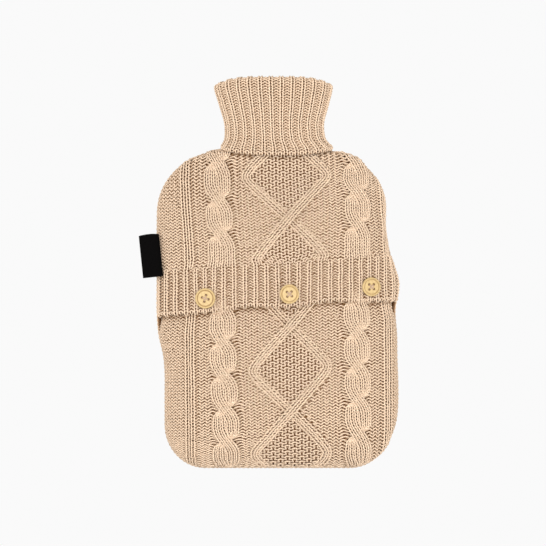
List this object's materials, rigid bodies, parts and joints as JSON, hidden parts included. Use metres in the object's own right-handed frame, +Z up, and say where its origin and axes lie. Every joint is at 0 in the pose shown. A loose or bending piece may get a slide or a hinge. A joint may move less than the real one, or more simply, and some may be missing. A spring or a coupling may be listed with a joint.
{
  "type": "knitted hot water bottle cover",
  "caption": "Cable-knit hot water bottle cover with a folded ribbed collar and a buttoned flap, lying on its back in the bottle's form.",
  "frame": {"origin": "on the surface it lies on, under the middle of the outline, side label included", "axes": "+X across the cover to its right, +Y from the foot towards the collar, +Z up out of the buttoned front"},
  "size_m": [0.2393, 0.36, 0.0517],
  "materials": {
    "yarn": "soft matt knitting",
    "wood": "satin",
    "thread": "matt",
    "ribbon": "matt woven"
  },
  "bodies": {
    "root": {"back_panel": "yarn", "front_lower": "yarn", "front_flap": "yarn", "collar": "yarn", "label_tab": "ribbon", "button_left": "wood", "button_centre": "wood", "button_right": "wood", "thread_left": "thread", "thread_centre": "thread", "thread_right": "thread"}
  },
  "joints": []
}
